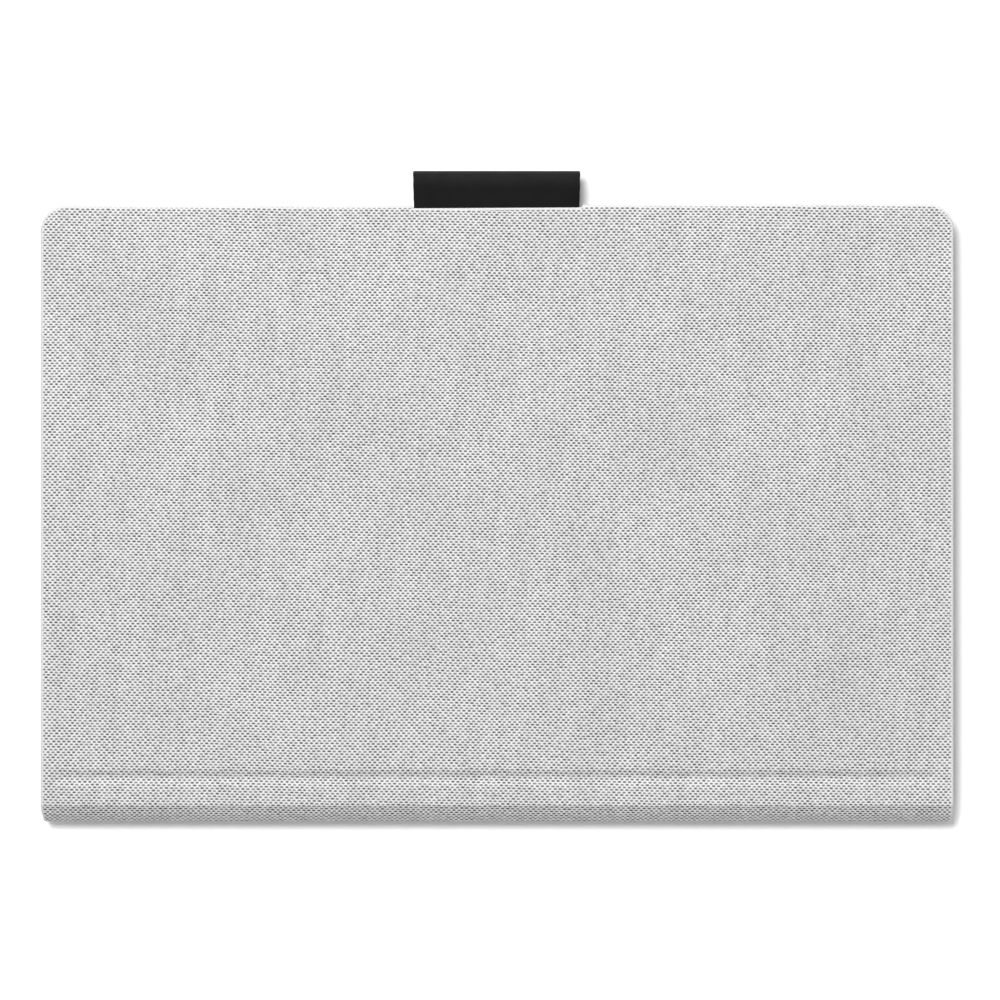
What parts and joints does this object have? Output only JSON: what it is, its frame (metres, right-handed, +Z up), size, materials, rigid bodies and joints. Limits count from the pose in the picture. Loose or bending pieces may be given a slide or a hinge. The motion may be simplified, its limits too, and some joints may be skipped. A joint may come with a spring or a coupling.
{
  "type": "tablet keyboard case",
  "caption": "Folio case for a tablet: woven cover with a creased spine, tilting tray with prop, keyboard deck with touchpad, and a pen loop at the free edge.",
  "frame": {"origin": "centre of the rear cover's outer face, on which the closed case lies", "axes": "+X along the spine, +Y from the spine to the free edge, +Z up through the closed case to the front cover"},
  "size_m": [0.3, 0.2138, 0.0206],
  "materials": {
    "cover_fabric": "two-tone light grey woven polyester",
    "lining": "charcoal microfibre",
    "stiffener": "pressed fibreboard",
    "pen_leather": "black coated strap, fine grain",
    "deck_plastic": "fine moulded texture",
    "base_metal": "brushed sheet",
    "key_plastic": "moulded caps, satin",
    "touchpad_glass": "etched satin",
    "rubber": "soft silicone",
    "dome_silicone": "milky silicone",
    "membrane_film": "printed polyester film",
    "circuit": "solder mask",
    "battery_pouch": "foil pouch",
    "tray_plastic": "moulded polycarbonate",
    "tray_rubber": "soft moulded rim",
    "steel": "bright",
    "magnet": "nickel plated",
    "light_window": "clear light pipe"
  },
  "bodies": {
    "rear_cover": {"rear_cover_fabric": "cover_fabric", "rear_cover_board": "stiffener", "rear_cover_lining": "lining", "rear_closure_magnets": "magnet", "prop_catch_plate": "steel", "tray_hinge_bracket": "steel", "tray_hinge_rod": "steel", "bracket_rivets": "steel"},
    "spine": {"spine_fabric": "cover_fabric", "spine_board": "stiffener", "spine_lining": "lining"},
    "hinge_strip": {"hinge_strip_fabric": "cover_fabric", "hinge_strip_board": "stiffener", "hinge_strip_lining": "lining"},
    "front_cover": {"front_cover_fabric": "cover_fabric", "front_cover_board": "stiffener", "front_cover_lining": "lining", "front_closure_magnets": "magnet", "pen_loop": "pen_leather", "keyboard_top_case": "deck_plastic", "keyboard_base_plate": "base_metal", "deck_screws": "steel", "key_membrane": "membrane_film", "rubber_dome_sheet": "dome_silicone", "main_circuit_board": "circuit", "usb_socket": "steel", "battery_cells": "battery_pouch", "status_windows": "light_window", "touchpad_switch": "steel", "deck_bumpers": "rubber"},
    "tray": {"tray_shell": "tray_plastic", "tray_rim": "tray_rubber", "tray_pad": "lining", "prop_hinge_pins": "steel"},
    "prop": {"prop_panel": "tray_plastic", "prop_facing": "lining", "prop_magnets": "magnet", "prop_foot": "rubber"},
    "touchpad": {"touchpad": "touchpad_glass"},
    "power_switch": {"power_switch": "key_plastic"},
    "function_row_keys": {"function_row_keys": "key_plastic"},
    "number_row_keys": {"number_row_keys": "key_plastic"},
    "backspace_key": {"backspace_key": "key_plastic"},
    "tab_key": {"tab_key": "key_plastic"},
    "upper_letter_keys": {"upper_letter_keys": "key_plastic"},
    "caps_lock_key": {"caps_lock_key": "key_plastic"},
    "home_letter_keys": {"home_letter_keys": "key_plastic"},
    "enter_key": {"enter_key": "key_plastic"},
    "left_shift_key": {"left_shift_key": "key_plastic"},
    "lower_letter_keys": {"lower_letter_keys": "key_plastic"},
    "right_shift_key": {"right_shift_key": "key_plastic"},
    "modifier_keys": {"modifier_keys": "key_plastic"},
    "space_key": {"space_key": "key_plastic"},
    "arrow_keys": {"arrow_keys": "key_plastic"}
  },
  "joints": [
    {"name": "cover_spine_fold", "type": "hinge", "parent": "rear_cover", "child": "spine", "pos_m": [0, -0.09993, 0.00107], "axis": [1, 0, 0], "range_deg": [0, 90]},
    {"name": "cover_strip_fold", "type": "hinge", "parent": "spine", "child": "hinge_strip", "pos_m": [0, -0.09993, 0.01953], "axis": [1, 0, 0], "range_deg": [0, 60]},
    {"name": "cover_crease_fold", "type": "hinge", "parent": "hinge_strip", "child": "front_cover", "pos_m": [0, -0.0868, 0.0206], "axis": [1, 0, 0], "range_deg": [0, 32]},
    {"name": "tray_tilt", "type": "hinge", "parent": "rear_cover", "child": "tray", "pos_m": [0, -0.0934, 0.0047], "axis": [1, 0, 0], "range_deg": [0, 65]},
    {"name": "prop_swing", "type": "hinge", "parent": "tray", "child": "prop", "pos_m": [0, -0.0134, 0.0036], "axis": [1, 0, 0], "range_deg": [-112.8, 0]},
    {"name": "touchpad_click", "type": "hinge", "parent": "front_cover", "child": "touchpad", "pos_m": [0, 0.0365, 0.0155], "axis": [1, 0, 0], "range_deg": [0, 0.7]},
    {"name": "power_switch_slide", "type": "slide", "parent": "front_cover", "child": "power_switch", "axis": [0, 1, 0], "range_m": [0, 0.003]},
    {"name": "key_function_row_press", "type": "slide", "parent": "front_cover", "child": "function_row_keys", "axis": [0, 0, 1], "range_m": [0, 0.0012]},
    {"name": "key_number_row_press", "type": "slide", "parent": "front_cover", "child": "number_row_keys", "axis": [0, 0, 1], "range_m": [0, 0.0012]},
    {"name": "key_backspace_press", "type": "slide", "parent": "front_cover", "child": "backspace_key", "axis": [0, 0, 1], "range_m": [0, 0.0012]},
    {"name": "key_tab_press", "type": "slide", "parent": "front_cover", "child": "tab_key", "axis": [0, 0, 1], "range_m": [0, 0.0012]},
    {"name": "key_upper_letter_press", "type": "slide", "parent": "front_cover", "child": "upper_letter_keys", "axis": [0, 0, 1], "range_m": [0, 0.0012]},
    {"name": "key_caps_lock_press", "type": "slide", "parent": "front_cover", "child": "caps_lock_key", "axis": [0, 0, 1], "range_m": [0, 0.0012]},
    {"name": "key_home_letter_press", "type": "slide", "parent": "front_cover", "child": "home_letter_keys", "axis": [0, 0, 1], "range_m": [0, 0.0012], "deforming": ["rubber_dome_sheet"]},
    {"name": "key_enter_press", "type": "slide", "parent": "front_cover", "child": "enter_key", "axis": [0, 0, 1], "range_m": [0, 0.0012]},
    {"name": "key_left_shift_press", "type": "slide", "parent": "front_cover", "child": "left_shift_key", "axis": [0, 0, 1], "range_m": [0, 0.0012]},
    {"name": "key_lower_letter_press", "type": "slide", "parent": "front_cover", "child": "lower_letter_keys", "axis": [0, 0, 1], "range_m": [0, 0.0012]},
    {"name": "key_right_shift_press", "type": "slide", "parent": "front_cover", "child": "right_shift_key", "axis": [0, 0, 1], "range_m": [0, 0.0012]},
    {"name": "key_modifier_press", "type": "slide", "parent": "front_cover", "child": "modifier_keys", "axis": [0, 0, 1], "range_m": [0, 0.0012]},
    {"name": "key_space_press", "type": "slide", "parent": "front_cover", "child": "space_key", "axis": [0, 0, 1], "range_m": [0, 0.0012]},
    {"name": "key_arrow_press", "type": "slide", "parent": "front_cover", "child": "arrow_keys", "axis": [0, 0, 1], "range_m": [0, 0.0012]}
  ],
  "couplings": [
    {"joint": "tray_tilt", "follows": "cover_spine_fold", "ratio": 0.7222},
    {"joint": "prop_swing", "follows": "cover_spine_fold", "ratio": -1.2533}
  ]
}
